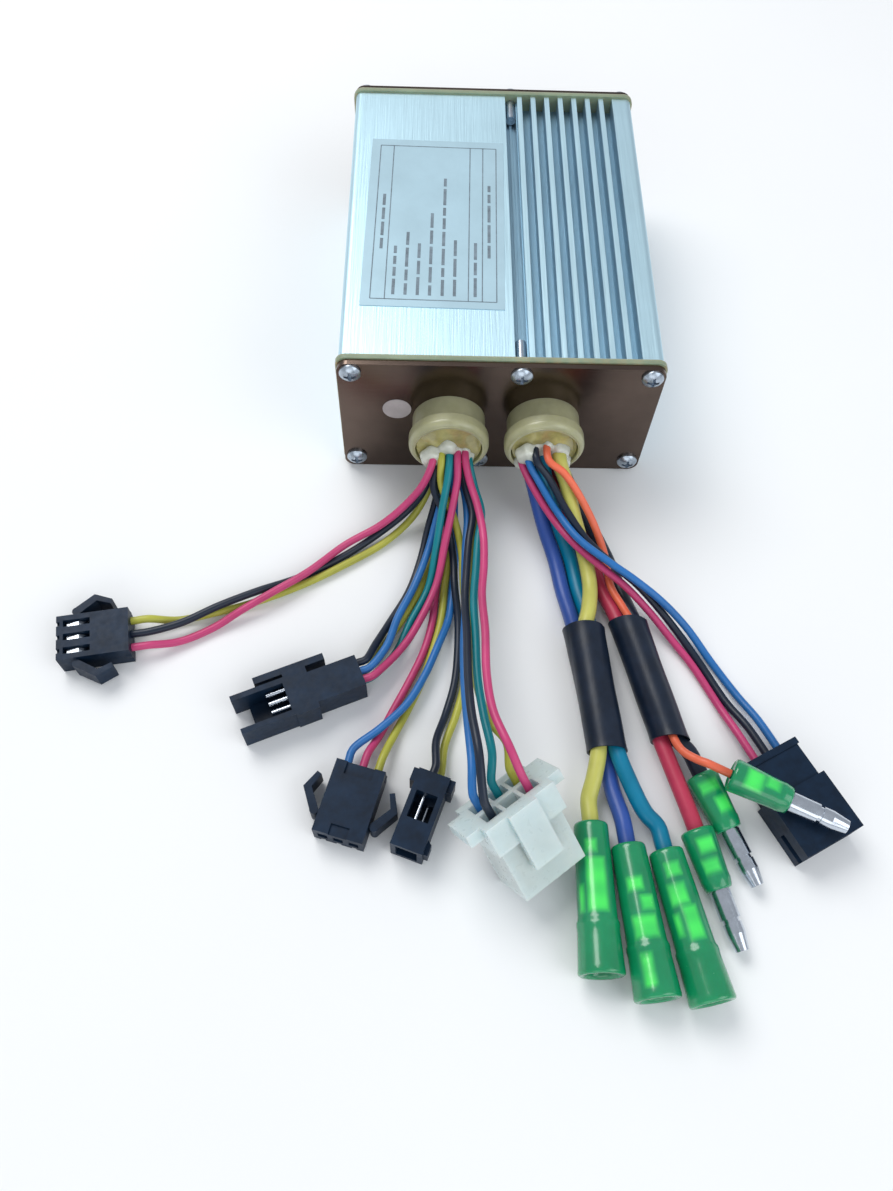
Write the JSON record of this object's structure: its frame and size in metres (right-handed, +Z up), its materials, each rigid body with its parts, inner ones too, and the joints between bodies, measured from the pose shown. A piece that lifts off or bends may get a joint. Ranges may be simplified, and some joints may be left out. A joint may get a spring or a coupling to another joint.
{
  "type": "electronic speed controller",
  "caption": "Finned aluminium motor speed controller box with sealed cable grommets, fanned-out colour-coded wires, latched plugs, shrouded sockets and bullet connectors.",
  "frame": {"origin": "centre of the extruded body's flat base", "axes": "+Z up out of the finned top, +Y along the body towards the plain rear plate; the wires leave the front plate towards -Y"},
  "size_m": [0.1651, 0.2163, 0.0361],
  "materials": {
    "body_aluminium": "fine brushed, satin",
    "polished_plate": "polished sheet",
    "gasket": "soft, slightly translucent",
    "zinc": "zinc plated",
    "label": "thin satin film",
    "sticker": "paper",
    "grommet": "translucent, satin",
    "sealant": "glossy clear sealant",
    "board": "solder mask",
    "epoxy": "moulded epoxy",
    "pad": "soft insulating pad",
    "capacitor": "heat-shrunk film",
    "connector_black": "moulded nylon, satin",
    "nylon": "natural nylon, translucent",
    "tin": "tin plated",
    "sleeve_green": "soft translucent PVC",
    "heatshrink": "satin heat-shrink",
    "wire_red": "PVC insulation",
    "wire_black": "PVC insulation",
    "wire_yellow": "PVC insulation",
    "wire_teal": "PVC insulation",
    "wire_blue": "PVC insulation",
    "wire_orange": "PVC insulation"
  },
  "bodies": {
    "controller": {"housing": "body_aluminium", "front_plate": "polished_plate", "rear_plate": "polished_plate", "end_gaskets": "gasket", "plate_screws": "zinc", "rating_label": "label", "inspection_sticker": "sticker", "signal_grommet": "grommet", "power_grommet": "grommet", "cable_sealant": "sealant", "circuit_board": "board", "heat_bar": "body_aluminium", "mosfets": "epoxy", "mosfet_pads": "pad", "clamp_screws": "zinc", "bus_capacitors": "capacitor", "control_chip": "epoxy", "throttle_plug": "connector_black", "sensor_plug": "connector_black", "display_shroud": "connector_black", "brake_shroud": "connector_black", "aux_shroud": "connector_black", "hall_plug": "nylon", "socket_contacts": "tin", "pin_contacts": "tin", "hall_contacts": "tin", "bullet_sleeves": "sleeve_green", "bullet_contacts": "tin", "heatshrink_sleeves": "heatshrink", "throttle_yellow": "wire_yellow", "throttle_black": "wire_black", "throttle_red": "wire_red", "display_black": "wire_black", "display_yellow": "wire_yellow", "display_blue": "wire_blue", "display_green": "wire_teal", "display_red": "wire_red", "sensor_blue": "wire_blue", "sensor_red": "wire_red", "sensor_yellow": "wire_yellow", "brake_black": "wire_black", "brake_yellow": "wire_yellow", "hall_blue": "wire_blue", "hall_black": "wire_black", "hall_green": "wire_teal", "hall_yellow": "wire_yellow", "hall_red": "wire_red", "phase_blue": "wire_blue", "phase_green": "wire_teal", "phase_yellow": "wire_yellow", "supply_red": "wire_red", "supply_black": "wire_black", "supply_orange": "wire_orange", "aux_red": "wire_red", "aux_black": "wire_black", "aux_blue": "wire_blue"},
    "throttle_latch_left": {"throttle_latch_left": "connector_black"},
    "throttle_latch_right": {"throttle_latch_right": "connector_black"},
    "sensor_latch_left": {"sensor_latch_left": "connector_black"},
    "sensor_latch_right": {"sensor_latch_right": "connector_black"}
  },
  "joints": [
    {"name": "throttle_latch_left_hinge", "type": "hinge", "parent": "controller", "child": "throttle_latch_left", "pos_m": [-0.09072, -0.0899, 0.003], "axis": [0, 0, -1], "range_deg": [0, 12], "stiffness_Nm_per_rad": 0.02},
    {"name": "throttle_latch_right_hinge", "type": "hinge", "parent": "controller", "child": "throttle_latch_right", "pos_m": [-0.08857, -0.10211, 0.003], "axis": [0, 0, 1], "range_deg": [0, 12], "stiffness_Nm_per_rad": 0.02},
    {"name": "sensor_latch_left_hinge", "type": "hinge", "parent": "controller", "child": "sensor_latch_left", "pos_m": [-0.03692, -0.13265, 0.003], "axis": [0, 0, -1], "range_deg": [0, 12], "stiffness_Nm_per_rad": 0.02},
    {"name": "sensor_latch_right_hinge", "type": "hinge", "parent": "controller", "child": "sensor_latch_right", "pos_m": [-0.025, -0.13607, 0.003], "axis": [0, 0, 1], "range_deg": [0, 12], "stiffness_Nm_per_rad": 0.02}
  ]
}
